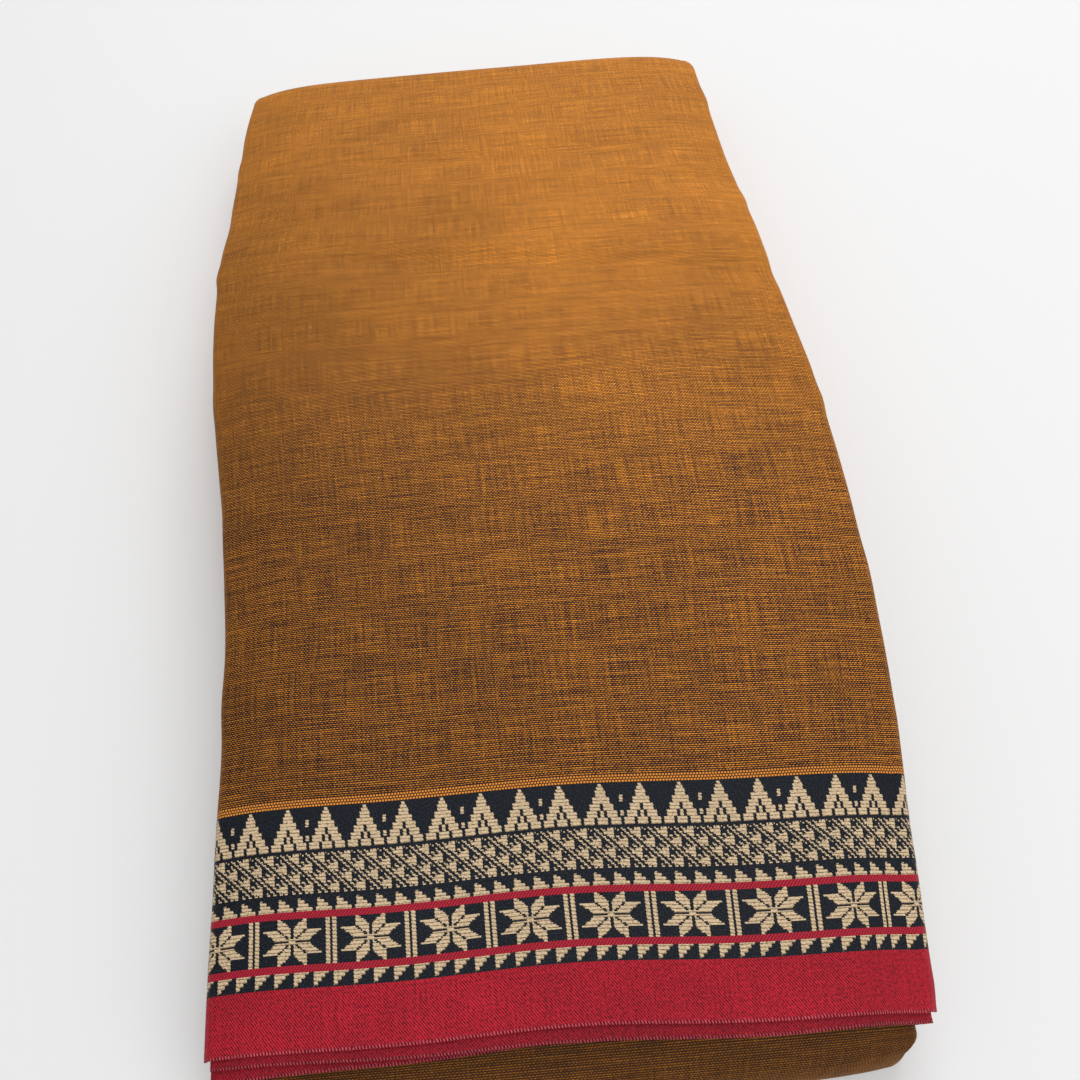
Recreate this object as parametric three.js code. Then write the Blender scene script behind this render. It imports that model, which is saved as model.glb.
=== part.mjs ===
// A cotton saree folded for a shelf: one long cloth, halved five times along its length and
// then folded in three across its width like a letter. It lies on its back with the woven
// border of the front flap at the near end (-Y) and a round fold at the far end (+Y).
// Millimetres, +Z up, origin at the centre of the footprint.
import * as THREE from "three";

// Driving sizes
const faceLength = 375; // front selvedge to the start of the far fold
const endHeight = 32; // height of the pack where the face ends, near and far
const crownRise = 12; // how much higher the loose middle of the stack stands
const sideDrop = 4; // the face lies this much lower at its sides than in its middle
const shoulder = 7; // power of that fall: most of it lies within 20 mm of the sides
const plyThickness = 1.2; // wall of each outer ply
const plyGap = 0.5; // clearance between a ply and what it lies on
const seamGap = 0.3; // clearance where two stretches of one cloth meet
const nearFoldRadius = 10; // round fold below the selvedges, at the near end
const nearFoldNose = -16; // its foremost line in the middle of the pack
const nearFoldSlant = -2.5; // and how far that line runs forward at the right side
const cornerPull = 6; // folds draw in by this much where they turn a corner
const sideRoll = { left: 4, right: 5 }; // radius of the outer ply's side fold
const sideSkirt = { left: 6, right: 6.6 }; // how far the outer ply reaches down the sides
const nearRoll = 0.6; // share of both that is left round the near fold
const layerStart = 46; // the loose selvedge layers join the folded core here
const coreStep = 2; // clearance along the pack between those layers and the core
const nearSeam = 30; // the underside meets the stretch that turns up round the near fold here

// Woven bands of the front flap, measured from its selvedge
const selvedgeBand = 14.8;
const borderBand = 60.4;

// Half widths of the pack on each side, from the near end to the far fold
const outline = [
  { along: 0, left: 97.0, right: 93.3 },
  { along: 25, left: 96.6, right: 95.5 },
  { along: 50, left: 95.6, right: 98.5 },
  { along: 80, left: 94.3, right: 101.9 },
  { along: 115, left: 94.3, right: 104.9 },
  { along: 150, left: 96.2, right: 105.2 },
  { along: 190, left: 100.3, right: 105.0 },
  { along: 230, left: 103.5, right: 103.0 },
  { along: 270, left: 103.8, right: 101.2 },
  { along: 305, left: 101.7, right: 98.9 },
  { along: 335, left: 99.7, right: 98.4 },
  { along: 360, left: 99.0, right: 98.3 },
  { along: 375, left: 97.2, right: 98.6 },
];

// Soft creases across the face: place along the pack, reach across it, slant and depth
const creases = [
  { along: 316, from: -72, to: 78, slant: 0, width: 5, depth: 0.9 },
  { along: 254, from: -72, to: 108, slant: -0.15, width: 6, depth: 1.2 },
  { along: 176, from: 55, to: 110, slant: 0.08, width: 7, depth: 0.9 },
  { along: 150, from: -100, to: -20, slant: 0.1, width: 8, depth: 0.8 },
];

// Selvedge layers under the front ply: how far each runs out past the front selvedge,
// and how much further it does so at its left and right ends
const selvedgeLayers = [
  { out: 3.6, left: -1.2, right: -1.0 },
  { out: 3.0, left: 2.6, right: -1.2 },
  { out: 2.4, left: 1.8, right: -0.6 },
  { out: 3.2, left: 0.4, right: -1.4 },
  { out: 1.8, left: 1.2, right: 0.4 },
];
const layerTurn = Math.PI / 6; // each layer bends down this far at its sides
const layerPitch = 2.06;
const layerThickness = 1.4;

const crownSteps = 12; // columns across the flat of a ply
const rollSteps = 3; // columns round each side fold
const foldSteps = 12; // rows round the near fold and round the far fold
const coreLobes = 5; // rounded folds that show down each side of the core
const lobeDepth = 2.2;
const coreCorner = 1.15; // the core draws in this much more than the plies at the corners

const range = (count, low, high) =>
  Array.from({ length: count + 1 }, (_, i) => low + ((high - low) * i) / count);
const smooth = (low, high, value) => THREE.MathUtils.smoothstep(value, low, high);
const lerp = THREE.MathUtils.lerp;

// The outline as a smooth curve through its stations
function halfWidth(side, along) {
  const last = outline.length - 1;
  const y = THREE.MathUtils.clamp(along, outline[0].along, outline[last].along);
  const i = Math.min(outline.findLastIndex((row) => row.along <= y), last - 1);
  const slope = (k) => {
    const before = outline[Math.max(k - 1, 0)];
    const after = outline[Math.min(k + 1, last)];
    return (after[side] - before[side]) / (after.along - before.along);
  };
  const [from, to] = [outline[i], outline[i + 1]];
  const span = to.along - from.along;
  const t = (y - from.along) / span;
  const ends = from[side] * (1 + 2 * t) * (1 - t) ** 2 + to[side] * (3 - 2 * t) * t * t;
  return ends + span * (slope(i) * t * (1 - t) ** 2 - slope(i + 1) * t * t * (1 - t));
}

// The selvedge and the woven lines lie askew and slightly waved on the pack
function weaveShift(across, woven) {
  const skew = -4.2 * across - 1.9 * across * across;
  const wave = 0.6 * Math.cos(2 * Math.PI * across) * (1 - smooth(30, 120, woven));
  return skew * (1 - smooth(100, faceLength, woven)) + wave;
}

// Under the outer ply the same creases are `blur` millimetres wider, and deeper to match
function creaseDepth(x, along, blur = 0) {
  let depth = 0;
  for (const crease of creases) {
    const off = (along - crease.along - crease.slant * x) / (crease.width + blur);
    const reach = smooth(crease.from, crease.from + 25, x) * (1 - smooth(crease.to - 25, crease.to, x));
    depth += crease.depth * reach * Math.exp(-off * off);
  }
  return depth * (1 + blur / 40);
}

const faceHeight = (along) =>
  endHeight + crownRise * Math.sin((Math.PI * Math.max(along, 0)) / faceLength);

// Far fold: an arc that leaves the face without a corner and comes down flat on the ground
const farTilt = Math.atan((crownRise * Math.PI) / faceLength);
const farRadius = endHeight / (1 + Math.cos(farTilt));
const farCentre = faceLength - farRadius * Math.sin(farTilt);

// A place on the outer surface of the pack, seen from the side: the point, the direction
// out of the pack, how much of the side drop applies there, how far the corners draw in and,
// where it isn't the whole, the share of the side fold's size that is left there
const onFace = (along) => ({
  y: along,
  z: faceHeight(along),
  out: [0, 1],
  drop: 1,
  along,
  pull: 0,
  creased: true,
});
function onFarFold(angle) {
  return {
    y: farCentre + farRadius * Math.sin(angle),
    z: farRadius + farRadius * Math.cos(angle),
    out: [Math.sin(angle), Math.cos(angle)],
    drop: (1 + Math.cos(angle)) / 2,
    along: faceLength,
    pull: cornerPull * Math.sin(angle) ** 4,
  };
}
const onGround = (along) => ({
  y: along,
  z: 0,
  out: [0, -1],
  drop: 0,
  along,
  pull: 0,
  skirtAt: faceLength,
  roll: lerp(nearRoll, 1, smooth(nearSeam, nearSeam + 60, along)),
});
function onNearFold(angle, across) {
  const centre = nearFoldNose + nearFoldSlant * across + nearFoldRadius;
  return {
    y: centre - nearFoldRadius * Math.sin(angle),
    z: nearFoldRadius - nearFoldRadius * Math.cos(angle),
    out: [-Math.sin(angle), -Math.cos(angle)],
    drop: (1 - Math.cos(angle)) / 2,
    along: 0,
    pull: cornerPull * Math.sin(angle) ** 4,
    skirtAt: faceLength,
    roll: nearRoll,
  };
}
// The second third of the fold runs back into the pack, on top of the near fold
function onTuck(along) {
  const z = 2 * nearFoldRadius + faceHeight(along) - endHeight;
  return { ...onFace(along), z, creased: false, skirtAt: faceLength, roll: nearRoll };
}

// Columns of a ply across the pack: its flat, then down round the fold at each side.
// `across` runs from -1 to 1 on the flat, `turn` is the angle round the side fold and
// `skirt` the share of the stretch below it.
function plyColumns(withSkirt, turn = Math.PI / 2) {
  const side = range(rollSteps, turn, 0).map((angle) => ({ turn: angle, skirt: 0 }));
  side.pop();
  if (withSkirt) side.unshift({ turn, skirt: 1 });
  return [
    ...side.map((c) => ({ ...c, across: -1 })),
    ...acrossStops(crownSteps).map((across) => ({ across, turn: 0, skirt: 0 })),
    ...side.map((c) => ({ ...c, across: 1 })).reverse(),
  ];
}

// Places across the flat, closer together towards the sides
const acrossStops = (steps) => range(steps, -1, 1).map((t) => Math.sin((Math.PI / 2) * t));

// The point of a column at a place. The ply is laid `sunk` millimetres inside the outer
// surface of the pack and `inset` in from its sides, and the point is `deep` within the ply.
function plyPoint(place, column, deep = 0, sunk = 0, inset = 0, blur = 0) {
  const side = column.across < 0 ? "left" : "right";
  const sign = Math.sign(column.across);
  const share = place.roll ?? 1;
  const roll = sideRoll[side] * share - inset;
  const width = halfWidth(side, place.along) - place.pull - inset;
  const radius = Math.max(roll - deep, 0.2);
  const flat = width - Math.max(roll, deep);
  const x = column.across * flat + sign * radius * Math.sin(column.turn);
  const drop = sideDrop * Math.abs(column.across) ** shoulder * place.drop;
  const crease = place.creased ? creaseDepth(x, place.along, blur) : 0;
  const growth = 0.15 + 0.85 * smooth(borderBand - 8, borderBand + 40, place.skirtAt ?? place.along);
  const fall = column.skirt * (sideSkirt[side] - sideRoll[side]) * share * growth;
  const inward = sunk + deep + drop + crease + radius * (1 - Math.cos(column.turn)) + fall;
  return new THREE.Vector3(x, place.y - place.out[0] * inward, place.z - place.out[1] * inward);
}

// A wall between an outer and an inner sheet of points, closed round its edges
function wallGeometry(outer, inner) {
  const rows = outer.length;
  const columns = outer[0].length;
  const points = [...outer.flat(), ...inner.flat()];
  const at = (sheet, row, column) => sheet * rows * columns + row * columns + column;
  const index = [];
  const quad = (a, b, c, d) => index.push(a, b, c, a, c, d);
  for (let r = 0; r < rows - 1; r++) {
    for (let c = 0; c < columns - 1; c++) {
      quad(at(0, r, c), at(0, r, c + 1), at(0, r + 1, c + 1), at(0, r + 1, c));
      quad(at(1, r, c), at(1, r + 1, c), at(1, r + 1, c + 1), at(1, r, c + 1));
    }
  }
  for (let c = 0; c < columns - 1; c++) {
    quad(at(1, 0, c), at(1, 0, c + 1), at(0, 0, c + 1), at(0, 0, c));
    const end = rows - 1;
    quad(at(0, end, c), at(0, end, c + 1), at(1, end, c + 1), at(1, end, c));
  }
  for (let r = 0; r < rows - 1; r++) {
    quad(at(0, r, 0), at(0, r + 1, 0), at(1, r + 1, 0), at(1, r, 0));
    const end = columns - 1;
    quad(at(1, r, end), at(1, r + 1, end), at(0, r + 1, end), at(0, r, end));
  }
  return indexedGeometry(points, index);
}

function indexedGeometry(points, index) {
  const geometry = new THREE.BufferGeometry().setFromPoints(points);
  geometry.setIndex(index);
  geometry.computeVertexNormals();
  return geometry;
}

// Closed rings lofted one to the next, with a cap on the first and the last
function ringGeometry(rings) {
  const count = rings[0].length;
  const index = [];
  for (let r = 0; r < rings.length - 1; r++) {
    for (let i = 0; i < count; i++) {
      const a = r * count + i;
      const b = r * count + ((i + 1) % count);
      index.push(a, b + count, b, a, a + count, b + count);
    }
  }
  const last = (rings.length - 1) * count;
  for (const [a, b, c] of capTriangles(rings[0])) index.push(a, b, c);
  for (const [a, b, c] of capTriangles(rings.at(-1))) index.push(last + a, last + c, last + b);
  return indexedGeometry(rings.flat(), index);
}

// Triangles of a cap: its upper and lower edges zipped from the nearest to the farthest point
function capTriangles(ring) {
  const ys = ring.map((point) => point.y);
  const near = ys.indexOf(Math.min(...ys));
  const far = ys.indexOf(Math.max(...ys));
  const chain = (step) => {
    const indices = [near];
    while (indices.at(-1) !== far) indices.push((indices.at(-1) + step + ring.length) % ring.length);
    return indices;
  };
  const upper = chain(1);
  const lower = chain(-1);
  const triangles = [];
  let u = 0;
  let l = 0;
  while (u < upper.length - 1 || l < lower.length - 1) {
    const upperNext = u < upper.length - 1 ? ys[upper[u + 1]] : Infinity;
    const lowerNext = l < lower.length - 1 ? ys[lower[l + 1]] : Infinity;
    if (upperNext <= lowerNext) triangles.push([upper[u], upper[++u], lower[l]]);
    else triangles.push([lower[l], upper[u], lower[++l]]);
  }
  return triangles.filter((corners) => new Set(corners).size === 3);
}

function plyWall(placeRows, columns = plyColumns(true)) {
  const sheet = (deep) =>
    placeRows.map((row) => columns.map((column) => plyPoint(row(column), column, deep)));
  return wallGeometry(sheet(0), sheet(plyThickness));
}

// One woven band of the face between two distances from the selvedge
function facePlaces(from, to, steps) {
  return range(steps, from, to).map(
    (woven) => (column) => onFace(woven + weaveShift(column.across, woven)),
  );
}

const frontSelvedge = () => plyWall(facePlaces(0, selvedgeBand - seamGap, 2), plyColumns(false));
const frontBorder = () => plyWall(facePlaces(selvedgeBand, borderBand - seamGap, 5), plyColumns(false));

function frontField() {
  const face = facePlaces(borderBand, faceLength, 44);
  const fold = range(foldSteps, farTilt, Math.PI).slice(1).map((angle) => () => onFarFold(angle));
  return plyWall([...face, ...fold]);
}

const underside = () =>
  plyWall(range(24, farCentre - seamGap, nearSeam).map((along) => () => onGround(along)));

function nearFold() {
  const ground = [() => onGround(nearSeam - seamGap), () => onGround(nearSeam / 2)];
  const fold = range(foldSteps, 0, Math.PI).map((angle) => (column) => onNearFold(angle, column.across));
  const tuck = range(4, 0, layerStart - plyGap).map((along) => () => onTuck(along));
  return plyWall([...ground, ...fold, ...tuck]);
}

// The crimson edges of the layers that lie under the front ply
function selvedgeLayer(layer, order) {
  const columns = plyColumns(false, layerTurn);
  const inset = plyThickness + plyGap;
  const top = inset + order * layerPitch;
  const place = (share) => (column) => {
    const across = column.across;
    const ends = Math.max(0, -across) * layer.left + Math.max(0, across) * layer.right;
    const edge = weaveShift(across, 0) - layer.out - ends;
    return onFace(lerp(edge, layerStart - plyGap, share));
  };
  const rows = [0, 0.12, 0.33, 0.66, 1].map(place);
  const sheet = (deep) =>
    rows.map((row) => columns.map((column) => plyPoint(row(column), column, deep, top, inset)));
  return wallGeometry(sheet(0), sheet(layerThickness));
}

// The hidden layers in one rounded solid. Its rings run round the pack seen from the side,
// from the middle of the left side, over the flat and down to the middle of the right side.
function foldedCore() {
  const inside = plyThickness + plyGap;
  const wall = () => inside;
  const faceStart = layerStart + coreStep;
  const tuckStops = range(4, 0, layerStart + coreStep / 4);
  const groundStops = [...range(14, farCentre - 12, faceStart + 12), ...tuckStops.slice(1).reverse()];
  const stops = [
    ...range(24, faceStart, faceLength).map((along) => () => onFace(along)),
    ...range(foldSteps, farTilt, Math.PI).slice(1).map((angle) => () => onFarFold(angle)),
    ...groundStops.map((along) => () => onGround(along)),
    ...range(foldSteps, 0, Math.PI).map((angle) => (across) => onNearFold(angle, across)),
    ...tuckStops.map((along) => () => onTuck(along)),
  ];
  const medial = (place) => {
    const full = smooth(layerStart - 6, layerStart + 10, place.y);
    const height = lerp(nearFoldRadius, faceHeight(place.y) / 2, full) - sideDrop / 2;
    const y = THREE.MathUtils.clamp(place.y, nearFoldNose + nearFoldRadius, farCentre);
    return new THREE.Vector3(0, y, height);
  };
  const rings = [];
  const addRing = (column, depthAt, toMiddle, outwards) => {
    const sign = Math.sign(column.across);
    rings.push(
      stops.map((stop) => {
        const place = stop(column.across);
        place.pull *= coreCorner;
        const point = plyPoint(place, column, 0, depthAt(place), column.turn ? inside : 0, 10);
        const middle = medial(place);
        point.y = lerp(point.y, middle.y, toMiddle);
        point.z = lerp(point.z, middle.z, toMiddle);
        if (outwards !== undefined) {
          const side = sign < 0 ? "left" : "right";
          point.x = sign * (halfWidth(side, place.along) - place.pull - outwards);
        }
        return point;
      }),
    );
  };
  const lobeRings = range(coreLobes * 2, 0, 0.88).map((share, i) => ({
    share,
    outwards: i % 2 ? 0.6 : 0.6 + lobeDepth,
  }));
  const sideRings = (sign) => {
    const column = { across: sign, turn: 0, skirt: 0 };
    const reach = sideSkirt[sign < 0 ? "left" : "right"];
    const skirt = (place) => reach * (place.roll ?? 1) + plyGap;
    for (const lobe of [...lobeRings].reverse()) addRing(column, skirt, lobe.share, lobe.outwards);
    addRing(column, skirt, 0, inside);
    for (const turn of [Math.PI / 2, Math.PI / 4]) addRing({ ...column, turn }, wall, 0);
  };
  sideRings(-1);
  for (const across of acrossStops(crownSteps / 2)) addRing({ across, turn: 0, skirt: 0 }, wall, 0);
  const leftCount = rings.length;
  sideRings(1);
  rings.push(...rings.splice(leftCount).reverse());
  return ringGeometry(rings);
}

const cloth = (color) => new THREE.MeshStandardMaterial({ color, roughness: 0.85, metalness: 0 });
const mustard = cloth(0xa86f2c);
const mustardShade = cloth(0x7d4d20);
const border = cloth(0x8f7c62);
const crimson = cloth(0xa32231);
const crimsonShade = cloth(0x861a27);

function piece(name, geometry, material) {
  const mesh = new THREE.Mesh(geometry, material);
  mesh.name = name;
  return mesh;
}

const pack = new THREE.Group();
pack.add(
  piece("front_selvedge", frontSelvedge(), crimson),
  piece("front_border", frontBorder(), border),
  piece("front_field", frontField(), mustard),
  piece("underside", underside(), mustard),
  piece("near_fold", nearFold(), mustard),
  piece("folded_core", foldedCore(), mustardShade),
);
selvedgeLayers.forEach((layer, order) => {
  pack.add(piece(`selvedge_layer_${order + 2}`, selvedgeLayer(layer, order), crimsonShade));
});

// The origin is the centre of the footprint, on the ground
const bounds = new THREE.Box3().setFromObject(pack);
const centre = bounds.getCenter(new THREE.Vector3());
pack.position.set(-centre.x, -centre.y, -bounds.min.z);

const saree = new THREE.Group();
saree.add(pack);
export default saree;
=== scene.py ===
import math
import bpy, bmesh
from mathutils import Matrix, Vector, noise


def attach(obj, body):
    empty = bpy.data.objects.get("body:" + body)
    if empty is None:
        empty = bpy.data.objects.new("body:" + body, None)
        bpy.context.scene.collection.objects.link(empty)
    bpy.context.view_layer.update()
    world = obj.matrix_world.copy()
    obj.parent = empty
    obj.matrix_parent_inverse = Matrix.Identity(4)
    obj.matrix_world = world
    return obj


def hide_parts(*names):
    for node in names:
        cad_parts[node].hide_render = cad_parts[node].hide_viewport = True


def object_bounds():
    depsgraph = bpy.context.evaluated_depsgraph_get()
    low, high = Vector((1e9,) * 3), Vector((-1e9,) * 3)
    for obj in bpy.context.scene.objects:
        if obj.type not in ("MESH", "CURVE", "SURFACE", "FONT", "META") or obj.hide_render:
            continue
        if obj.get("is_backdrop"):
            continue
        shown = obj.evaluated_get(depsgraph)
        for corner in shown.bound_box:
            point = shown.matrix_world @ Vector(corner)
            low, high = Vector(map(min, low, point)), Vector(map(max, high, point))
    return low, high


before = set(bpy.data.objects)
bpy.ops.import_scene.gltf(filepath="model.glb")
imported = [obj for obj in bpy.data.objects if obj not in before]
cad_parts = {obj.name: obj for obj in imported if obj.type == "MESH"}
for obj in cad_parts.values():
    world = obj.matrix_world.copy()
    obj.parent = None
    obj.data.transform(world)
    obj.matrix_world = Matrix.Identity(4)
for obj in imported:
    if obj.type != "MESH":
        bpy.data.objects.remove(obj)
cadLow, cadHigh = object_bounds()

# A cotton saree, folded and lying on its back. Shapes are worked out in millimetres with the
# front selvedge at y = 0, and moved to the frame's origin as they are made.
pack = {
    "faceLength": 375, "endHeight": 32, "crownRise": 12, "sideDrop": 4, "shoulder": 7,
    "foldRadius": 10, "foldNose": -16, "foldSlant": -2.5, "cornerPull": 6,
    "roll": {"left": 4, "right": 5}, "skirt": {"left": 6, "right": 6.6}, "nearRoll": 0.6,
    "turnBack": 1.3, "turnIn": 5,       # the edge turned in under each side: radius and reach
    "bandGrowth": 0.15, "growthFade": (-8, 40),     # the sides deepen past the border
    "nearPull": 4.5, "pullFade": (-5, 75),          # the near fold's right end lies further in
    "cornerRound": 1.3, "cornerFade": (-6.5, 1.5),  # the front selvedge's right corner is rounded
    "creaseGain": 1.4,                  # the creases are this much deeper than the solids'
    "ply": 0.6,                         # thickness of a cloth sheet
    "selvedge": 14.8, "border": 60.4,   # cloth length where the border and the ground begin
    "seam": 30, "seamFade": 60,         # where the side roll grows on the underside
}
outline = [  # place along the pack, half width to the left and to the right
    (0, 97.0, 93.3), (25, 96.6, 95.5), (50, 95.6, 98.5), (80, 94.3, 101.9), (115, 94.3, 104.9),
    (150, 96.2, 105.2), (190, 100.3, 105.0), (230, 103.5, 103.0), (270, 103.8, 101.2),
    (305, 101.7, 98.9), (335, 99.7, 98.4), (360, 99.0, 98.3), (375, 97.2, 98.6),
]
creases = [  # along, from x, to x, slant, width, depth
    (316, -72, 78, 0, 5, 0.9), (254, -72, 108, -0.15, 6, 1.2),
    (176, 55, 110, 0.08, 7, 0.9), (150, -100, -20, 0.1, 8, 0.8),
]
softLines = [  # slighter creases, laid over them
    (98, -60, 60, 0.05, 10, 0.35), (214, -110, 10, -0.1, 9, 0.4), (283, 30, 110, 0.12, 6, 0.5),
    (342, -50, 105, -0.04, 6, 0.45), (128, 20, 110, -0.08, 9, 0.35), (300, -104, -50, 0.2, 5, 0.4),
]


def lerp(low, high, share):
    return low + (high - low) * share


def smooth(low, high, value):
    t = min(max((value - low) / (high - low), 0), 1)
    return t * t * (3 - 2 * t)


def stops(count, low, high):
    return [lerp(low, high, i / count) for i in range(count + 1)]


def halfWidth(side, along):
    column = 1 if side == "left" else 2
    y = min(max(along, outline[0][0]), outline[-1][0])
    last = len(outline) - 1
    i = min(max(k for k in range(last + 1) if outline[k][0] <= y), last - 1)

    def slope(k):
        before, after = outline[max(k - 1, 0)], outline[min(k + 1, last)]
        return (after[column] - before[column]) / (after[0] - before[0])

    low, high = outline[i], outline[i + 1]
    span = high[0] - low[0]
    t = (y - low[0]) / span
    ends = low[column] * (1 + 2 * t) * (1 - t) ** 2 + high[column] * (3 - 2 * t) * t * t
    return ends + span * (slope(i) * t * (1 - t) ** 2 - slope(i + 1) * t * t * (1 - t))


# The woven lines lie askew on the pack, less so further up
skew = {"lean": 4.2, "bend": 1.9, "fade": (100, 375), "wave": 0.6, "waveFade": (30, 120)}


def weaveShift(across, woven):
    slant = -skew["lean"] * across - skew["bend"] * across * across
    wave = skew["wave"] * math.cos(2 * math.pi * across)
    return slant * (1 - smooth(*skew["fade"], woven)) + wave * (1 - smooth(*skew["waveFade"], woven))


def creaseDepth(x, along, table):
    depth, runOut = 0, 25
    for at, low, high, slant, width, deep in table:
        reach = smooth(low, low + runOut, x) * (1 - smooth(high - runOut, high, x))
        depth += deep * reach * math.exp(-((along - at - slant * x) / width) ** 2)
    return depth


def faceHeight(along):
    rise = math.sin(math.pi * max(along, 0) / pack["faceLength"])
    return pack["endHeight"] + pack["crownRise"] * rise


farTilt = math.atan(pack["crownRise"] * math.pi / pack["faceLength"])
farRadius = pack["endHeight"] / (1 + math.cos(farTilt))
farCentre = pack["faceLength"] - farRadius * math.sin(farTilt)
foldCentre = pack["foldNose"] + pack["foldRadius"]

# cloth length where the ground under the pack, the near fold and the tuck begin
groundStart = pack["faceLength"] + farRadius * (math.pi - farTilt)
foldStart = groundStart + farCentre - foldCentre
tuckStart = foldStart + math.pi * pack["foldRadius"]

foremost = min(  # of the near fold, at the places across it that the solids have
    pack["foldNose"] + pack["foldSlant"] * u + pack["sideDrop"] / 2 * abs(u) ** pack["shoulder"]
    for u in [math.sin(math.pi / 2 * t / 6) for t in range(7)]
)


def widest(side):
    return max(halfWidth(side, y) for y in range(pack["faceLength"] + 1))


shiftX = (widest("left") - widest("right")) / 2
shiftY = cadLow.y * 1000 - foremost


# A place on the outer surface seen from the side: y, z, the way out, the share of the side
# drop, the place along the pack, how far the corner draws in, and the size of the side roll
def place(y, z, out, drop, along, pull=0, roll=1, growth=1, creased=False, rightPull=0):
    return {"y": y, "z": z, "out": out, "drop": drop, "along": along, "pull": pull,
            "roll": roll, "growth": growth, "creased": creased, "rightPull": rightPull}


def nearPull(along):
    return pack["nearPull"] * (1 - smooth(*pack["pullFade"], along))


def onFace(along):
    start, end = (pack["border"] + step for step in pack["growthFade"])
    growth = lerp(pack["bandGrowth"], 1, smooth(start, end, along))
    corner = pack["cornerRound"] * (1 - smooth(*pack["cornerFade"], along))
    return place(along, faceHeight(along), (0, 1), 1, along, growth=growth, creased=True,
                 rightPull=corner)


def onFarFold(angle):
    out = (math.sin(angle), math.cos(angle))
    return place(farCentre + farRadius * out[0], farRadius + farRadius * out[1], out,
                 (1 + out[1]) / 2, pack["faceLength"], pack["cornerPull"] * out[0] ** 4)


def onGround(along):
    roll = lerp(pack["nearRoll"], 1, smooth(pack["seam"], pack["seam"] + pack["seamFade"], along))
    return place(along, 0, (0, -1), 0, along, roll=roll, rightPull=nearPull(along))


def onNearFold(angle, across):
    radius = pack["foldRadius"]
    centre = foldCentre + pack["foldSlant"] * across
    out = (-math.sin(angle), -math.cos(angle))
    return place(centre + radius * out[0], radius + radius * out[1], out, (1 + out[1]) / 2, 0,
                 pack["cornerPull"] * out[0] ** 4, pack["nearRoll"], rightPull=nearPull(0))


def onTuck(along):
    z = 2 * pack["foldRadius"] + faceHeight(along) - pack["endHeight"]
    return place(along, z, (0, 1), 1, along, roll=pack["nearRoll"], rightPull=nearPull(along))


ripples = {  # height, size and seed
    "broad": (0.45, 46, 3.1), "fine": (0.2, 17, 7.7), "fold": (0.3, 30, 5.5),
}
loose = {"lift": 0.06, "least": 0.25, "near": (-5, 50), "far": (330, 375), "farLoss": 0.6}


def ripple(kind, x, y):
    height, size, seed = ripples[kind]
    return height * noise.noise(Vector((x / size, y / size, seed)))


sideNubs = {  # small steps and nubs down the sides, left and right: where, how long, how far out
    -1: [(266, 5, 0.8), (293, 10, -0.9), (330, 6, 0.5), (205, 9, 0.5), (160, 8, -0.4), (95, 9, 0.5)],
    1: [(283, 4, 0.7), (242, 6, -0.6), (182, 5, 0.7), (128, 9, -0.4), (352, 7, 0.7), (70, 8, 0.3)],
}


def sideLumps(sign, along):
    bump = sum(high * math.exp(-((along - at) / width) ** 2) for at, width, high in sideNubs[sign])
    return bump + 0.35 * noise.noise(Vector((along / 19, 4.5 * sign, 1.3)))


# A column across a sheet: its kind, how far along that kind it is, and the side
def sheetColumns(flat, roll=5, skirt=3, turnBack=4, tail=2, turn=math.pi / 2):
    half = [("roll", angle) for angle in stops(roll, 0, turn)[1:]]
    half += [("skirt", share) for share in stops(skirt, 0, 1)[1:]] if skirt else []
    half += [("back", angle) for angle in stops(turnBack, 0, math.pi / 2)[1:]] if turnBack else []
    half += [("tail", share) for share in stops(tail, 0, 1)[1:]] if tail else []
    middle = [("flat", math.sin(math.pi / 2 * t), 1 if t > 0 else -1) for t in stops(flat, -1, 1)]
    left = [(kind, share, -1) for kind, share in reversed(half)]
    return left + middle + [(kind, share, 1) for kind, share in half]


def acrossOf(column):  # from -1 at the left side to 1 at the right
    return column[1] if column[0] == "flat" else column[2]


def sheetPoint(at, column, sunk=0.0, inset=0.0, lumps=1.0):
    kind, share, sign = column
    side = "left" if sign < 0 else "right"
    along, out = at["along"], at["out"]
    beneath = out[1] <= -0.9
    grown = smooth(0.3, 1, at["growth"])
    roll = max(pack["roll"][side] * at["roll"] - inset, 0.5)
    fall = (pack["skirt"][side] - pack["roll"][side]) * at["roll"] * at["growth"]
    back = max(pack["turnBack"] * at["roll"] * grown, 0.12)
    tail = max(pack["turnIn"] * grown, 0.4)
    width = halfWidth(side, along) - at["pull"] - inset - (at["rightPull"] if sign > 0 else 0)
    if not beneath:
        width += lumps * sideLumps(sign, along)
    across, depth, x = sign, 0, sign * width
    if kind == "flat":
        across, x = share, share * (width - roll)
    elif kind == "roll":
        x, depth = sign * (width - roll + roll * math.sin(share)), roll * (1 - math.cos(share))
    elif kind == "skirt":
        depth = roll + share * fall
    elif kind == "back":
        x, depth = sign * (width - back * (1 - math.cos(share))), roll + fall + back * math.sin(share)
    else:
        x, depth = sign * (width - back - share * tail), roll + fall + back
    depth += sunk + pack["sideDrop"] * abs(across) ** pack["shoulder"] * at["drop"]
    if at["creased"]:
        free = smooth(*loose["near"], along) * (1 - loose["farLoss"] * smooth(*loose["far"], along))
        depth += pack["creaseGain"] * creaseDepth(x, along, creases)
        depth += lumps * creaseDepth(x, along, softLines)
        wave = ripple("broad", x, at["y"]) + ripple("fine", x, at["y"]) + loose["lift"]
        depth -= lumps * wave * lerp(loose["least"], 1, free)
    elif not beneath:
        depth -= lumps * ripple("fold", x, at["z"] + at["y"]) * (1 - out[1] ** 2)
    return (x, at["y"] - out[0] * depth, at["z"] - out[1] * depth)


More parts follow.
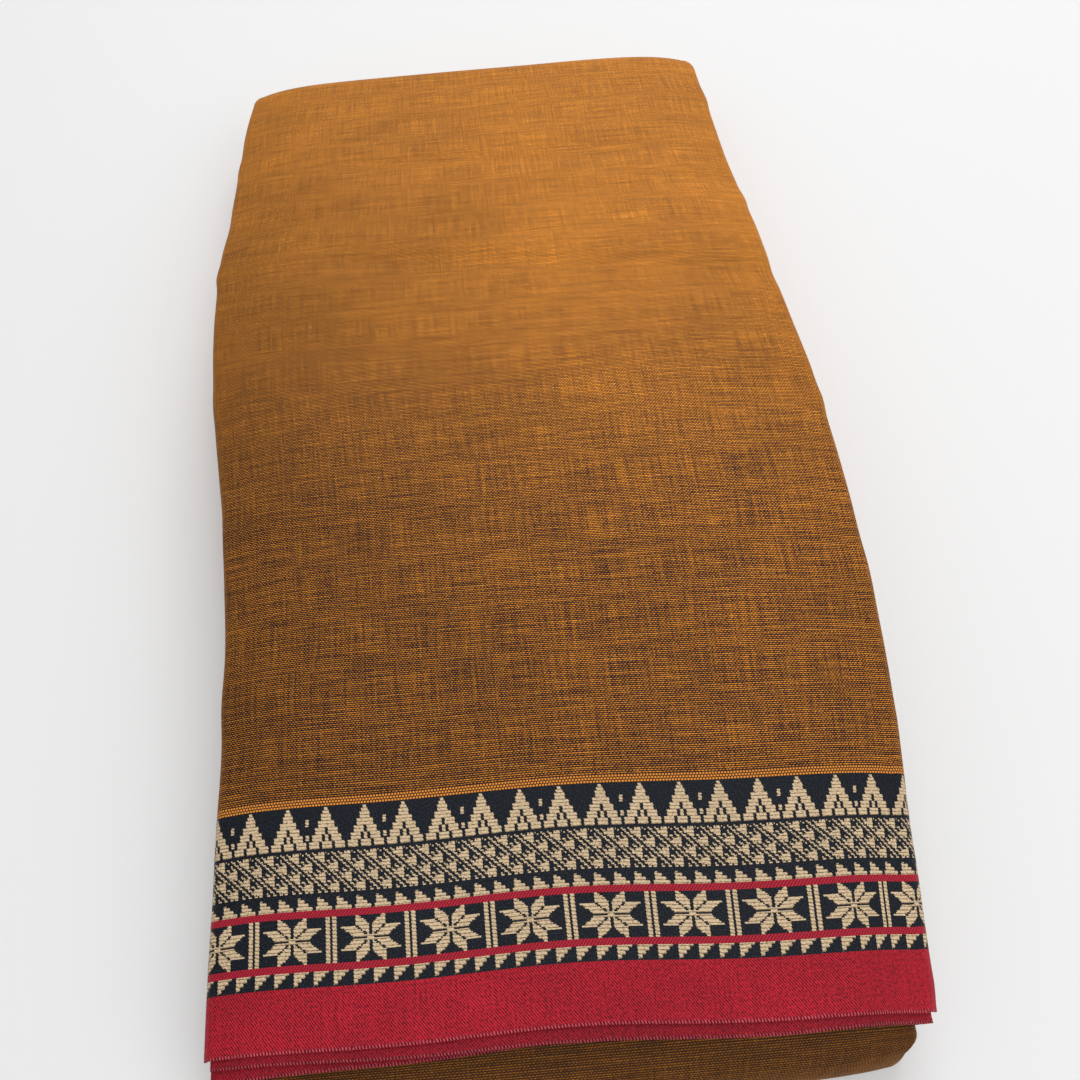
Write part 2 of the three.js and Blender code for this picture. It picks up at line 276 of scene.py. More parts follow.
weaveFit = {  # where the figures meet the sides, in the border and further up
    "fade": (26, 58), "left": (1.7, 0.3), "leftBend": 1.8, "right": (3.5, 1.1),
    "rightWidth": 90.45, "rightBow": 0.8, "bowShare": 0.83,
    "middle": {"bow": 0.7, "at": 12, "size": 32, "fade": (60, 120)},
}


def clothAcross(column, at):  # distance across the cloth, true to length round the side
    kind, share, sign = column
    side = "left" if sign < 0 else "right"
    roll, skirt, back = pack["roll"][side], pack["skirt"][side], pack["turnBack"]
    u = abs(share) if kind == "flat" else 1
    along = at["along"]
    far = smooth(*weaveFit["fade"], along)
    if sign < 0:
        edge = u * (halfWidth(side, min(along, 60)) - roll)
        edge += lerp(*weaveFit["left"], far) * u ** weaveFit["leftBend"]
    else:
        edge = weaveFit["rightWidth"] * u
        edge -= weaveFit["rightBow"] * min(u / weaveFit["bowShare"], 1) ** 3 * (1 - far)
        edge += lerp(*weaveFit["right"], far) * smooth(0.8, 1, u)
    if kind == "flat":
        fit = weaveFit["middle"]
        bow = math.exp(-((sign * edge - fit["at"]) / fit["size"]) ** 2)
        return sign * edge - fit["bow"] * bow * far * (1 - smooth(*fit["fade"], along))
    rolled = roll * math.pi / 2
    length = {"roll": roll * share, "skirt": rolled + share * (skirt - roll),
              "back": rolled - roll + skirt + back * share,
              "tail": rolled - roll + skirt + 2 + pack["turnIn"] * share}
    return sign * (edge + length[kind])


# A sheet through rows and columns of points, given a wall under its outer surface.
# Its UV map "cloth" holds millimetres across the cloth and along it.
def makeSheet(name, rows, columns, point, woven, thickness, materials, choose=None):
    mesh = bmesh.new()
    across, along = len(columns) - 1, len(rows) - 1
    bmesh.ops.create_grid(mesh, x_segments=across, y_segments=along, size=0.5)
    layer = mesh.verts.layers.float_vector.new("weave")
    for vertex in mesh.verts:
        row = rows[round((vertex.co.y + 0.5) * along)]
        column = columns[round((vertex.co.x + 0.5) * across)]
        vertex[layer] = (*woven(row, column), 0)
        x, y, z = point(row, column)
        vertex.co = ((x + shiftX) / 1000, (y + shiftY) / 1000, z / 1000)
    mesh.normal_update()
    inward = mesh.verts.layers.float_vector.new("inward")
    for vertex in mesh.verts:
        vertex[inward] = vertex.normal * (-thickness / 1000)
    wall = bmesh.ops.extrude_face_region(mesh, geom=mesh.faces[:], use_keep_orig=True)
    for vertex in wall["geom"]:
        if isinstance(vertex, bmesh.types.BMVert):
            vertex.co += vertex[inward]
    bmesh.ops.recalc_face_normals(mesh, faces=mesh.faces[:])
    uv = mesh.loops.layers.uv.new("cloth")
    for face in mesh.faces:
        face.smooth = True
        if choose:
            face.material_index = choose(sum(v[layer].y for v in face.verts) / len(face.verts))
        for loop in face.loops:
            loop[uv].uv = loop.vert[layer].xy
    return finishMesh(name, mesh, materials)


def finishMesh(name, mesh, materials):
    data = bpy.data.meshes.new(name)
    mesh.to_mesh(data)
    mesh.free()
    data.set_sharp_from_angle(angle=math.radians(55))
    for material in materials:
        data.materials.append(material)
    piece = bpy.data.objects.new(name, data)
    bpy.context.scene.collection.objects.link(piece)
    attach(piece, "root")
    return piece


# Node sums that read like ordinary arithmetic
class nodeValue:
    def __init__(self, tree, socket):
        self.tree, self.socket = tree, socket

    def apply(self, kind, *others):
        node = self.tree.nodes.new("ShaderNodeMath")
        node.operation = kind
        for slot, value in enumerate((self, *others)):
            if isinstance(value, nodeValue):
                self.tree.links.new(value.socket, node.inputs[slot])
            else:
                node.inputs[slot].default_value = value
        return nodeValue(self.tree, node.outputs[0])

    def __add__(self, other): return self.apply("ADD", other)
    def __sub__(self, other): return self.apply("SUBTRACT", other)
    def __mul__(self, other): return self.apply("MULTIPLY", other)
    def __truediv__(self, other): return self.apply("DIVIDE", other)
    def __mod__(self, other): return self.apply("FLOORED_MODULO", other)
    def __lt__(self, other): return self.apply("LESS_THAN", other)
    def __gt__(self, other): return self.apply("GREATER_THAN", other)
    def __neg__(self): return self * -1
    def __abs__(self): return self.apply("ABSOLUTE")
    def floor(self): return self.apply("FLOOR")
    def least(self, other): return self.apply("MINIMUM", other)
    def most(self, other): return self.apply("MAXIMUM", other)
    def clip(self): return self.most(0).least(1)
    def ramp(self, start, end): return ((self - start) / (end - start)).clip()
    def within(self, low, high): return (self > low) * (self < high)
    def either(self, other): return self.most(other)
    def without(self, other): return self * (-other + 1)


def tone(red, green, blue):  # a colour as it looks on a screen, out of 255
    def channel(c):
        c /= 255
        return c / 12.92 if c < 0.04045 else ((c + 0.055) / 1.055) ** 2.4
    return (channel(red), channel(green), channel(blue), 1)


class clothMaterial:
    def __init__(self, name, roughness, sheen, sheenTint):
        self.material = bpy.data.materials.new(name)
        self.material.use_nodes = True
        self.tree = self.material.node_tree
        self.shader = self.tree.nodes["Principled BSDF"]
        self.shader.inputs["Roughness"].default_value = roughness
        self.shader.inputs["Specular IOR Level"].default_value = 0.18
        self.shader.inputs["Sheen Weight"].default_value = sheen
        self.shader.inputs["Sheen Roughness"].default_value = 0.45
        self.shader.inputs["Sheen Tint"].default_value = sheenTint

    def cloth(self):
        node = self.tree.nodes.new("ShaderNodeUVMap")
        node.uv_map = "cloth"
        split = self.tree.nodes.new("ShaderNodeSeparateXYZ")
        self.tree.links.new(node.outputs[0], split.inputs[0])
        return nodeValue(self.tree, split.outputs[0]), nodeValue(self.tree, split.outputs[1])

    def noise(self, s, v, detail=2):  # from 0 to 1, mostly 0.3 to 0.7
        join = self.tree.nodes.new("ShaderNodeCombineXYZ")
        self.tree.links.new(s.socket, join.inputs[0])
        self.tree.links.new(v.socket, join.inputs[1])
        node = self.tree.nodes.new("ShaderNodeTexNoise")
        node.inputs["Scale"].default_value = 1
        node.inputs["Detail"].default_value = detail
        self.tree.links.new(join.outputs[0], node.inputs["Vector"])
        return nodeValue(self.tree, node.outputs[0])

    def mix(self, mask, below, above):
        node = self.tree.nodes.new("ShaderNodeMix")
        node.data_type = "RGBA"
        self.tree.links.new(mask.socket, node.inputs[0])
        for slot, value in ((6, below), (7, above)):
            if isinstance(value, tuple):
                node.inputs[slot].default_value = value
            else:
                self.tree.links.new(value, node.inputs[slot])
        return node.outputs[2]

    def lighten(self, colour, amount):  # multiplies a colour by a value
        node = self.tree.nodes.new("ShaderNodeVectorMath")
        node.operation = "SCALE"
        self.tree.links.new(colour, node.inputs[0])
        self.tree.links.new(amount.socket, node.inputs["Scale"])
        return node.outputs[0]

    def finish(self, colour, height, distance):
        bump = self.tree.nodes.new("ShaderNodeBump")
        bump.inputs["Distance"].default_value = distance / 1000
        bump.inputs["Strength"].default_value = 1
        self.tree.links.new(height.socket, bump.inputs["Height"])
        self.tree.links.new(bump.outputs[0], self.shader.inputs["Normal"])
        self.tree.links.new(colour, self.shader.inputs["Base Color"])
        return self.material


def peak(value):  # 1 half way through each turn of a value, 0 at its ends
    return -abs(value % 1 - 0.5) * 2 + 1


# Three rows of stitches between the ground and the border: where they start and end on each
# side of the seam, and their sizes in mm
cordLook = {"start": 60.05, "end": 62.3, "row": 0.76, "stitch": 0.84,
            "light": tone(238, 152, 62), "dark": tone(46, 20, 12)}


def cordStitch(s, v):
    row = (v - cordLook["start"]) / cordLook["row"]
    stitch = peak(s / cordLook["stitch"] + row.floor() * 0.5) + 0.15
    return (stitch.least(peak(row) * 1.5) * 3.2 - 1.05).clip()


def addCord(m, mask, colour, s, v):
    return m.mix(mask, colour, m.mix(cordStitch(s, v), cordLook["dark"], cordLook["light"]))


groundLook = {
    "weft": tone(255, 162, 38), "warp": tone(46, 18, 30), "bright": tone(255, 196, 120),
    "pitch": 0.6, "dash": 0.94,             # mm of a weft row, and of one dash in it
    "near": 0.74, "far": 1.2, "under": 0.35,    # level by the border (painted shade), far up (painted light) and under the pack (painted shade)
    "left": 0.42,                           # painted shade: how much darker the left side is
    "even": 0.5,                            # evens out the weave far up, where it would shimmer
    "bump": 0.06,
}


def groundCloth():  # orange weft over a dark warp
    look = groundLook
    m = clothMaterial("shotGround", 0.66, 0.18, tone(255, 168, 50))
    s, v = m.cloth()
    slub = m.noise(s * 0.07, v * 1.9, 3) - 0.5
    drift = m.noise(s * 1.7, v * 0.06, 3) - 0.5
    grain = m.noise(s * 0.9, v * 1.5) - 0.5
    streak = m.noise(s * 0.03, v * 0.55, 3) - 0.5
    row = v / look["pitch"] + slub * 0.3
    dash = peak(s / look["dash"] + row.floor() * 0.5 + grain * 0.5)
    yarn = peak(row) * 0.95 + dash * 0.5 + slub * 0.7 + drift * 0.5 + grain * 0.5
    over = ((yarn - 0.82) * 4.5).clip()     # 1 where the weft lies over the warp
    even = v.ramp(150, 330).least(look["even"]) * v.ramp(720, 660).most(0.5)
    over = over + (-over + 0.5) * even
    colour = m.mix(over, look["warp"], look["weft"])
    fleck = ((grain - 0.1).most(0) * 4).least(0.7)
    colour = m.mix(fleck * over, colour, look["bright"])
    # painted light and shade along the cloth: darker by the border and under the pack, lighter far
    # up; painted shade to the left; and tones in clouds and streaks
    level = v.ramp(90, 265) * (look["far"] - look["near"]) + look["near"]
    level = level + v.ramp(400, 700) * (look["under"] - look["far"])
    # painted shade on the left side of the face
    left = s.ramp(25, -85) * v.ramp(420, 260) * v.ramp(-250, 200)
    level = level * (-left * look["left"] + 1)
    level = level * (m.noise(s * 0.022, v * 0.03) * 0.5 + 0.75)
    level = level * (slub * 0.4 + drift * 0.45 + streak * 0.65 + 1)
    cord = v < cordLook["end"]
    colour = addCord(m, cord, m.lighten(colour, level), s, v)
    height = over * 0.8 + slub * 0.2 + cord * cordStitch(s, v) * 1.6
    return m.finish(colour, height, look["bump"])


borderLook = {
    "black": tone(6, 12, 21), "blackLight": tone(62, 68, 80), "cream": tone(222, 197, 160),
    # the darker cream is painted shade between the cream floats
    "creamShade": tone(108, 80, 52), "red": tone(190, 34, 56), "redDark": tone(92, 10, 24),
    "cell": 0.4417, "row": 0.453, "latticeRow": 0.433, "templeRow": 0.4625,   # mm of a thread
    "star": 11.0,                           # where a star's centre lies
    # each row of figures, in mm from the edge of the selvedge
    "lowTeeth": (14.8, 18.5), "lowLine": (18.5, 20.3), "panel": (20.3, 31.5),
    "highLine": (31.5, 33.3), "highTeeth": (33.3, 36.5), "lattice": (37.6, 48.0),
    "temples": (48.8, 59.75),
    "bump": 0.1,
}


def figuredCloth():  # the border's rows of figures, counted in threads from the selvedge
    look = borderLook
    m = clothMaterial("figuredBorder", 0.62, 0.06, tone(255, 240, 220))
    s, v = m.cloth()
    thread = v / look["row"]
    cell = (s - look["star"]) / look["cell"] + (thread.floor() % 2) * 0.3
    d = ((cell + 24) % 48).floor() - 23.5   # threads from the nearest star's centre

    def rows(name, pitch="row"):  # threads above the foot of a row of figures
        return ((v - look[name][0]) / look[pitch]).floor()

    # eight-pointed stars with a bar on each side
    y = rows("panel") - 12
    a, b = abs(d) / 18, abs(y) / 13.2
    small, large = a.least(b), a.most(b)
    star = (small < 0.5) * (large < small + 0.52)
    cuts = (abs(d) < 0.9).either(abs(y) < 0.6).either((large - small) < 0.045)
    star = star.without(cuts * (large > 0.12))
    bars = (-abs((cell + 24) % 48 - 24) + 24).within(0.75, 3.3)
    panel = v.within(*look["panel"]) * star.either(bars)
    # saw teeth above and below
    up, down = rows("highTeeth"), -rows("lowTeeth") + 8
    standing, hanging = (cell + 8.9) % 12, (cell + 10.9) % 12
    upper = (standing > (up > 1.5)) * (standing < (-(up / 2).floor() * 2.4 + 9.8))
    lower = hanging < (-(down / 2).floor() * 2.2 + 8.9)
    teeth = (v.within(*look["highTeeth"]) * upper).either(v.within(*look["lowTeeth"]) * lower)
    # the lattice of small triangles
    high = rows("lattice", "latticeRow")
    ty = high % 6
    tx = ((cell + 24).floor() + ((high / 6).floor() % 2) * 8) % 16
    light = (tx < 5.5) * (abs(ty - 2.5) < tx * 0.5 + 0.6)
    dark = tx.within(5.5, 9.5) * (abs(ty - 2.5) < (-(tx - 6) * 0.8 + 3))
    checker = peak((cell + high) / 4) * 1.15 + peak((cell - high) / 4) * 0.85 > 1.08
    lattice = v.within(*look["lattice"]) * light.either(checker.without(dark))
    # temples, with a dot and a mark in each second valley
    t = rows("temples", "templeRow")
    q = abs(((cell + 12) % 24).floor() - 11.5)
    step = (t / 4).floor()
    temple = q < (-step * 2 + 11.2).most(1.7) - (t % 4) * 0.12
    temple = temple.without((abs(q - (-step * 2 + 4)) < 0.6) * (t < 11.5))
    valley = abs(((d + 12) % 48) - 24)
    dot = (valley < 1.4) * t.within(12.5, 16.5)
    mark = (valley < 0.9) * t.within(4.5, 7.5)
    temples = v.within(*look["temples"]) * temple.either(dot).either(mark)
    figure = panel.either(teeth).either(lattice).either(temples)
    lines = v.within(*look["lowLine"]).either(v.within(*look["highLine"]))

    # random unevenness; in the cream it also moves the painted shade between the floats
    wearAndShade = m.noise(s * 1.5, v * 2.2) - 0.5
    pair = thread / 2
    yarn = peak(thread) * 0.5 + peak(pair) * 0.75 + peak(s / 0.95 + pair.floor() * 0.5) * 0.15
    raised = (yarn + wearAndShade * 2.1 + 0.02).clip()
    # painted shade: the cream darkens between and below the raised floats
    cream = m.mix(raised, look["creamShade"], look["cream"])
    speck = ((m.noise(s * 2.6, v * 2.6, 1) - 0.5) * 2.4).most(0).least(0.6)
    black = m.mix(speck, look["black"], look["blackLight"])
    twill = peak(s / 0.9 - v / 1.1)
    red = m.mix((twill * 1.5 + wearAndShade * 1.2 - 0.1).clip(), look["redDark"], look["red"])
    colour = m.mix(lines, m.mix(figure, black, cream), red)
    colour = m.lighten(colour, m.noise(s * 0.06, v * 0.06) * 0.24 + 0.88)
    cord = v > cordLook["start"]
    colour = addCord(m, cord, colour, s, v)
    height = figure * (raised * 0.7 + 0.5) + lines * (twill * 0.6 + 0.5) + cord * cordStitch(s, v)
    return m.finish(colour, height, look["bump"])


selvedgeLook = {
    "red": tone(198, 30, 50), "dark": tone(78, 6, 20), "light": tone(214, 84, 96),
    "pitch": 0.86,                          # mm between the ticks of the turned weft
    "edge": 0.75,                           # mm of their reach
    "bump": 0.12,
}


def crimsonCloth(name, level):
    look = selvedgeLook
    m = clothMaterial(name, 0.62, 0.12, tone(255, 120, 130))
    s, v = m.cloth()
    grain = m.noise(s * 1.5, v * 1.5) - 0.5
    streak = m.noise(s * 0.06, v * 1.6) - 0.5
    warp = m.noise(s * 1.4, v * 0.08) - 0.5
    cloud = m.noise(s * 0.03, v * 0.05) - 0.5
    twill = peak(s / 0.78 + v / 0.95)
    over = (twill * 1.3 + grain * 2.2 + warp * 0.8).clip()
    colour = m.mix(over, look["dark"], look["red"])
    edge = v < grain * 1.2 + look["edge"]
    tick = ((s / look["pitch"] + grain * 0.6 + v * 0.3) % 1).within(0.2, 0.65)
    colour = m.mix(edge * 0.8, colour, m.mix(tick, look["dark"], look["light"]))
    # a level below 1 paints shade over the whole colour
    colour = m.lighten(colour, (streak * 0.4 + cloud * 0.5 + 1) * level)
    return m.finish(colour, over * 0.7 + edge * tick * 1.5, look["bump"])


print("materials")
shotGround = groundCloth()
figuredBorder = figuredCloth()
crimsonTwill = crimsonCloth("crimsonTwill", 1)
# a darker copy of the crimson: painted shade for the selvedge layers beneath the front
crimsonShadedEdges = crimsonCloth("crimsonShadedEdges", 0.7)

print("front cloth")
front = {  # how many steps each stretch has
    "columns": 84, "bandRows": 10, "borderRows": 30, "fieldRows": 126, "foldRows": 20,
    "groundRows": 44, "tuckRows": 6,
    "tuckEnd": 45,                          # how far in the cloth goes after the near fold
}


def facePoint(woven, column):
    return sheetPoint(onFace(woven + weaveShift(acrossOf(column), woven)), column)


def faceWeave(woven, column):
    return clothAcross(column, onFace(woven)), woven


bandColumns = sheetColumns(front["columns"], turnBack=0, tail=0)
selvedgeBand = makeSheet(
    "front_selvedge_band", stops(front["bandRows"], 0, pack["selvedge"]), bandColumns,
    facePoint, faceWeave, pack["ply"], [crimsonTwill])
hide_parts("front_selvedge")

border = makeSheet(
    "front_figured_border", stops(front["borderRows"], pack["selvedge"], pack["border"]),
    bandColumns, facePoint, faceWeave, pack["ply"], [figuredBorder])
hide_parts("front_border")

# rows of the ground cloth: the stretch that they lie on, and where on it
fieldRows = [("face", v) for v in stops(front["fieldRows"], pack["border"], pack["faceLength"])]
fieldRows += [("far", a) for a in stops(front["foldRows"], farTilt, math.pi)[1:]]
fieldRows += [("ground", y) for y in stops(front["groundRows"], farCentre, 0)[1:]]
fieldRows += [("near", a) for a in stops(front["foldRows"], 0, math.pi)[1:]]
fieldRows += [("tuck", y) for y in stops(front["tuckRows"], 0, front["tuckEnd"])[1:]]


def fieldPoint(row, column):
    stretch, at = row
    if stretch == "face":
        return facePoint(at, column)
    if stretch == "far":
        found = onFarFold(at)
    elif stretch == "ground":
        found = onGround(at)
    elif stretch == "near":
        found = onNearFold(at, acrossOf(column))
    else:
        found = onTuck(at)
    return sheetPoint(found, column)


def fieldWeave(row, column):
    stretch, at = row
    if stretch == "face":
        return faceWeave(at, column)
    length = {
        "far": pack["faceLength"] + farRadius * (at - farTilt),
        "ground": groundStart + farCentre - at,
        "near": foldStart + pack["foldRadius"] * at,
        "tuck": tuckStart + at - foldCentre,
    }
    return clothAcross(column, onFace(300)), length[stretch]


field = makeSheet(
    "ground_cloth", fieldRows, sheetColumns(front["columns"]), fieldPoint, fieldWeave,
    pack["ply"], [shotGround])
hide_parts("front_field", "underside", "near_fold")

print("selvedge layers")
layers = {
    "count": 14, "pitch": 0.79, "thickness": 0.55, "first": 0.7, "depth": 45, "recess": 2.2,
    "inset": 0.9, "lumps": 0.15, "woven": 50, "shift": 7.3,
    "rows": [0, 0.03, 0.08, 0.2, 0.3, 0.45, 0.7, 1],
    # how far the first ones stand out past the front selvedge, and how much more at each side
    "edges": [(3.6, -1.2, -1.0), (3.0, 2.6, -1.2)],
    "nodes": ["selvedge_layer_2", "selvedge_layer_3", "selvedge_layer_4", "selvedge_layer_5",
              "selvedge_layer_6"],
}


def selvedgeLayer(order):
    wander = layers["recess"] + 0.8 * noise.noise(Vector((order * 1.7, 0.4, 2)))
    out, left, right = layers["edges"][order] if order < len(layers["edges"]) else (wander, 0.6, -0.4)
    sunk = layers["first"] + order * layers["pitch"]

    def spot(share, column):
        across = acrossOf(column)
        ends = max(0, -across) * left + max(0, across) * right
        edge = weaveShift(across, 0) - out - ends
        edge += 0.5 * noise.noise(Vector((across * 2.3, order * 3.1, 0.7)))
        return sheetPoint(onFace(lerp(edge, layers["depth"], share)), column, sunk,
                          layers["inset"], layers["lumps"])

    def weave(share, column):
        return clothAcross(column, onFace(10)) + order * layers["shift"], share * layers["woven"]

    columns = sheetColumns(60, roll=3, skirt=0, turnBack=0, tail=0, turn=math.pi / 5)
    # the crimson part of each layer takes the darker copy, painted shade
    piece = makeSheet(f"selvedge_layer_{order + 1:02d}", layers["rows"], columns, spot, weave,
                      layers["thickness"], [crimsonShadedEdges, figuredBorder],
                      choose=lambda v: 0 if v < pack["selvedge"] else 1)
    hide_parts(layers["nodes"][order * len(layers["nodes"]) // layers["count"]])


for order in range(layers["count"]):
    selvedgeLayer(order)

print("side folds")
leaves = {  # the share of the height that each fold fills, from and to, and how far in it lies
    "left": {"wraps": [(0.56, 0.7, 0.9), (0.7, 0.84, 0.1), (0.84, 1.0, 0.7)],
             "middle": [(0.04, 0.2, 1.1), (0.2, 0.38, 0.2), (0.38, 0.56, 0.9)]},
    "right": {"wraps": [(0.55, 0.64, 0.5), (0.64, 0.74, 1.3), (0.74, 0.82, 0.3), (0.82, 0.91, 0.9),
                        (0.91, 1.0, 0.1)],
              "middle": [(0.03, 0.13, 0.9), (0.13, 0.25, 0.1), (0.25, 0.36, 1.2),
                         (0.36, 0.46, 0.4), (0.46, 0.55, 1.4)]},
    "tail": 7.5, "thickness": 0.5, "flat": {"left": 0.0174, "right": 0.0165},
    "steps": {"face": 78, "far": 14, "ground": 80, "near": 12, "tuck": 6, "middle": 74},
    "span": {"face": (44, 374), "tuck": (0, 42), "middle": (38, 356)},
    "far": {"reach": 16, "height": 14, "room": 9.8},
    "near": {"reach": 10, "height": 8, "room": 8.5},
    "nearStack": 16, "stackFade": (0, 150),
    # both ends are turned in, and the near one is thin
    "startRows": 20, "startPull": 4.5, "startFade": (44, 70), "thinFade": (34, 66),
    "endRows": 7, "endPull": 3.5, "endFade": (15, 42),
}


def stackTop(y):  # the whole height at the sides, and the top of the middle third there
    height = faceHeight(y) - pack["sideDrop"]
    return height, lerp(leaves["nearStack"], 2 * height / 3, smooth(*leaves["stackFade"], y))


# The line of a fold round the pack: y, z, the room that all such folds share, and the bend
def leafPath(side, q, stretches):
    centre = foldCentre + (-pack["foldSlant"] if side == "left" else pack["foldSlant"])
    path = []
    for stretch in stretches:
        steps = leaves["steps"][stretch]
        if stretch == "face":
            for y in stops(steps, *leaves["span"]["face"]):
                height, top = stackTop(y)
                path.append((y, height - q * (height - top), height - top, 0))
        elif stretch == "far":
            bend, share = leaves["far"], 1 - 0.667 * q
            for a in stops(steps, 0, math.pi)[1:-1]:
                path.append((farCentre + bend["reach"] * share * math.sin(a),
                             bend["height"] + bend["height"] * share * math.cos(a),
                             bend["room"], math.sin(a)))
        elif stretch == "ground":
            for y in stops(steps, farCentre, 0):
                top = stackTop(y)[1]
                path.append((y, q * top / 2, top / 2, 0))
        elif stretch == "near":
            bend = leaves["near"]
            for a in stops(steps, 0, math.pi)[1:-1]:
                path.append((centre - bend["reach"] * (1 - q) * math.sin(a),
                             bend["height"] - bend["height"] * (1 - q) * math.cos(a),
                             bend["room"], math.sin(a)))
        else:
            for y in stops(steps, *leaves["span"][stretch]):
                top = stackTop(y)[1]
                path.append((y, top - q * top / 2, top / 2, 0))
    return path


def sideLeaf(name, side, low, high, inset, stretches):
    sign = -1 if side == "left" else 1
    q = (low + high) / 2
    path = leafPath(side, q, stretches)
    wraps = stretches[0] == "face"
    lengths, rows = [0.0], []
    for i in range(1, len(path)):
        lengths.append(lengths[-1] + math.dist(path[i][:2], path[i - 1][:2]))
    for i, (y, z, room, bend) in enumerate(path):
        before, after = path[max(i - 1, 0)], path[min(i + 1, len(path) - 1)]
        ty, tz = after[0] - before[0], after[1] - before[1]
        size = math.hypot(ty, tz) or 1
        grown = 1
        pulled = nearPull(y) if side == "right" and (not wraps or i > leaves["steps"]["face"]) else 0
        if wraps and i < leaves["startRows"]:
            grown = smooth(*leaves["thinFade"], y)
            pulled = leaves["startPull"] * (1 - smooth(*leaves["startFade"], y))
        elif wraps and i > len(path) - leaves["endRows"]:
            pulled += leaves["endPull"] * smooth(*leaves["endFade"], y)
        x = halfWidth(side, y) + sideLumps(sign, y) * 0.7 - pack["cornerPull"] * bend ** 4 - inset
        x += 0.5 * noise.noise(Vector((lengths[i] / 24, q * 9, sign * 3.3))) - pulled
        rows.append({"x": x, "y": y, "z": z, "out": (-tz / size, ty / size), "length": lengths[i],
                     "half": room * (high - low) / 2 * (0.3 + 0.67 * grown)})
    section = [("tail", -1, 1.0), ("tail", -1, 0.4)] + [("turn", 0, a) for a in stops(6, 0, math.pi)]
    section += [("tail", 1, 0.4), ("tail", 1, 1.0)]
    if sign < 0:
        section.reverse()

    def spot(row, part):
        kind, end, share = part
        half = row["half"]
        corner = min(half, 2.2)
        if kind == "tail":
            inward, depth = corner + share * leaves["tail"], end * half
        else:
            inward, depth = corner * (1 - math.sin(share)), -math.cos(share) * half
        return (sign * (row["x"] - inward), row["y"] - row["out"][0] * depth,
                row["z"] - row["out"][1] * depth)

    def weave(row, part):
        kind, end, share = part
        s = end * (2.5 + share * leaves["tail"]) if kind == "tail" else share * 1.6 - 2.5
        return s + 40 * q, row["length"] + leaves["span"]["face"][0]

    piece = makeSheet(name, rows, section, spot, weave, leaves["thickness"],
                      [shotGround, figuredBorder], choose=lambda v: 0 if v > pack["border"] else 1)
    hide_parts("folded_core")


for side in ("left", "right"):
    for number, (low, high, inset) in enumerate(leaves[side]["wraps"], 1):
        sideLeaf(f"side_fold_{side}_{number}", side, low, high, inset,
                 ["face", "far", "ground", "near", "tuck"])
    for number, (low, high, inset) in enumerate(leaves[side]["middle"], 1):
        sideLeaf(f"middle_fold_{side}_{number}", side, low, high, inset, ["middle"])

print("hidden layers")
core = {"narrow": 0.93, "top": 0.0425, "merge": 0.00001, "woven": 200}  # metres, but for the last


def hiddenLayers():  # the solid core, drawn in so that the side folds cover it
    mesh = bmesh.new()
    mesh.from_mesh(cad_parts["folded_core"].data)
    bmesh.ops.remove_doubles(mesh, verts=mesh.verts[:], dist=core["merge"])
    bmesh.ops.scale(mesh, vec=(core["narrow"], 1, 1), verts=mesh.verts[:])
    for vertex in mesh.verts:
        vertex.co.z = min(vertex.co.z, core["top"])
    uv = mesh.loops.layers.uv.new("cloth")
    for face in mesh.faces:
        face.smooth = True
        for loop in face.loops:
            loop[uv].uv = (loop.vert.co.x * 1000, loop.vert.co.y * 1000 + core["woven"])
    piece = finishMesh("hidden_layers", mesh, [shotGround])
    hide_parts("folded_core")


hiddenLayers()

print("stage")
stage = {
    "lens": 33.33, "place": (-5.9, -14.9, 311.8), "raise": 60.76, "turn": -3.76, "tip": -2.65,
    "floorSize": 3, "floorTone": 0.9, "sky": 0.42,
    "lights": [  # name, place, size, watts
        ("farKey", (0.3, 1.05, 1.2), 1.2, 10.5), ("rightFill", (0.9, -0.6, 1.0), 1.0, 3),
        ("overhead", (0.15, -0.5, 1.6), 1.0, 7),
    ],
}


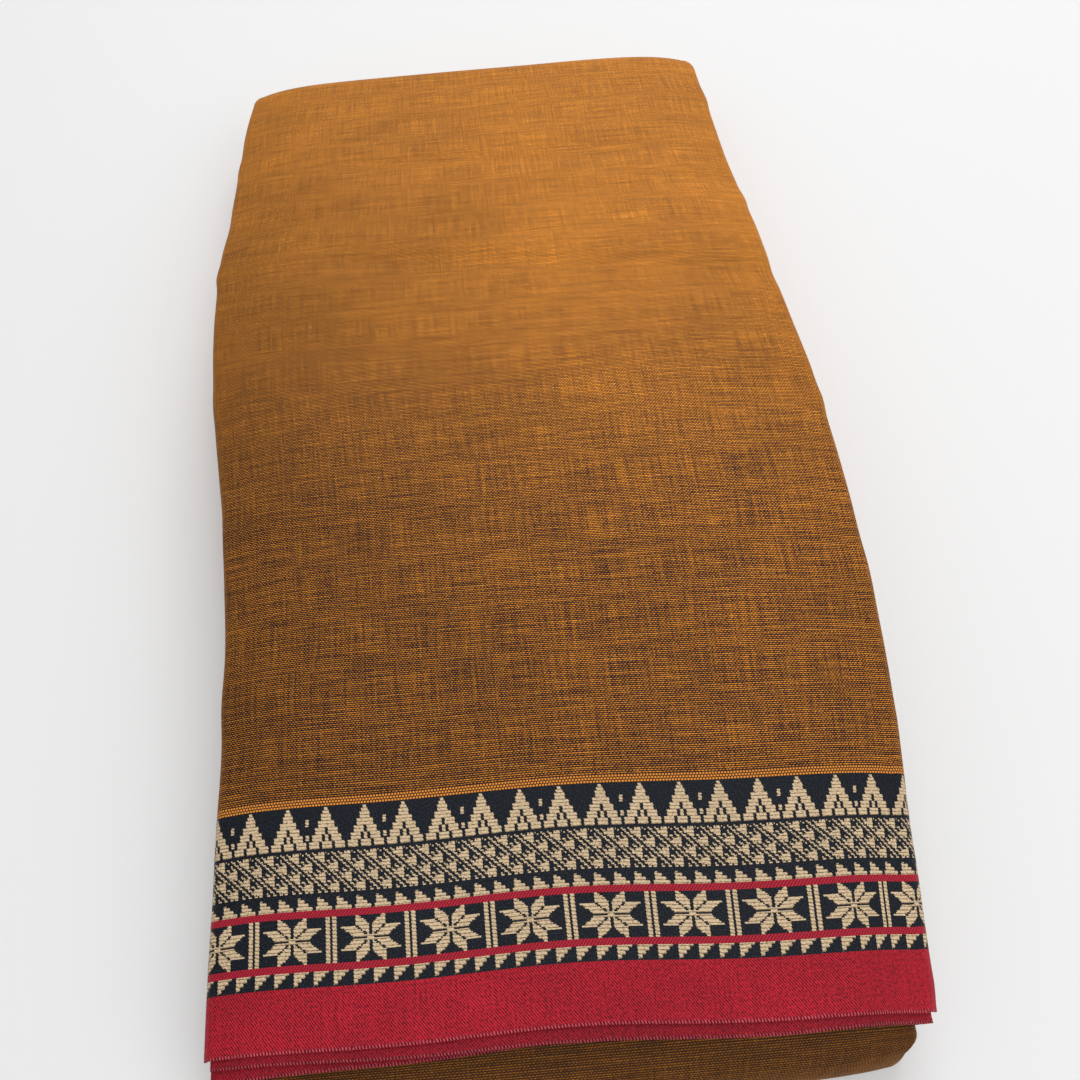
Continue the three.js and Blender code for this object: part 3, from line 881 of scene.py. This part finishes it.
def makeCamera():
    raised, turn, tip = (math.radians(stage[k]) for k in ("raise", "turn", "tip"))
    flat = math.cos(raised)
    back = Vector((math.sin(turn) * flat, -math.cos(turn) * flat, math.sin(raised)))
    level = Vector((math.cos(turn), math.sin(turn), 0))
    upright = back.cross(level)
    right = math.cos(tip) * level + math.sin(tip) * upright
    up = -math.sin(tip) * level + math.cos(tip) * upright
    data = bpy.data.cameras.new("camera")
    data.lens, data.sensor_width = stage["lens"], 36
    data.clip_start, data.clip_end = 0.01, 20
    camera = bpy.data.objects.new("camera", data)
    bpy.context.scene.collection.objects.link(camera)
    x, y, z = stage["place"]
    where = Vector(((x + shiftX) / 1000, (y + shiftY) / 1000, z / 1000))
    camera.matrix_world = Matrix.Translation(where) @ Matrix((right, up, back)).transposed().to_4x4()
    bpy.context.scene.camera = camera


def areaLight(name, where, size, power):
    data = bpy.data.lights.new(name, "AREA")
    data.shape, data.size, data.energy = "DISK", size, power
    light = bpy.data.objects.new(name, data)
    light.location = where
    light.rotation_euler = (-Vector(where)).to_track_quat("-Z", "Y").to_euler()
    bpy.context.scene.collection.objects.link(light)


def makeFloor():
    mesh = bmesh.new()
    bmesh.ops.create_grid(mesh, x_segments=2, y_segments=2, size=stage["floorSize"])
    bmesh.ops.translate(mesh, vec=(0, 0, -0.0002), verts=mesh.verts[:])   # just under the cloth
    material = bpy.data.materials.new("paleFloor")
    material.use_nodes = True
    shader = material.node_tree.nodes["Principled BSDF"]
    shader.inputs["Base Color"].default_value = (*[stage["floorTone"]] * 3, 1)
    shader.inputs["Roughness"].default_value = 0.9
    data = bpy.data.meshes.new("floor")
    mesh.to_mesh(data)
    mesh.free()
    data.materials.append(material)
    floor = bpy.data.objects.new("floor", data)
    bpy.context.scene.collection.objects.link(floor)
    floor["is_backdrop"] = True


def makeSky():
    world = bpy.data.worlds.new("studio")
    world.use_nodes = True
    background = world.node_tree.nodes["Background"]
    background.inputs[0].default_value = (1, 1, 1, 1)
    background.inputs[1].default_value = stage["sky"]
    bpy.context.scene.world = world


makeCamera()
makeFloor()
for light in stage["lights"]:
    areaLight(*light)
makeSky()
bpy.context.scene.view_settings.view_transform = "Standard"

low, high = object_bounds()
print("done")
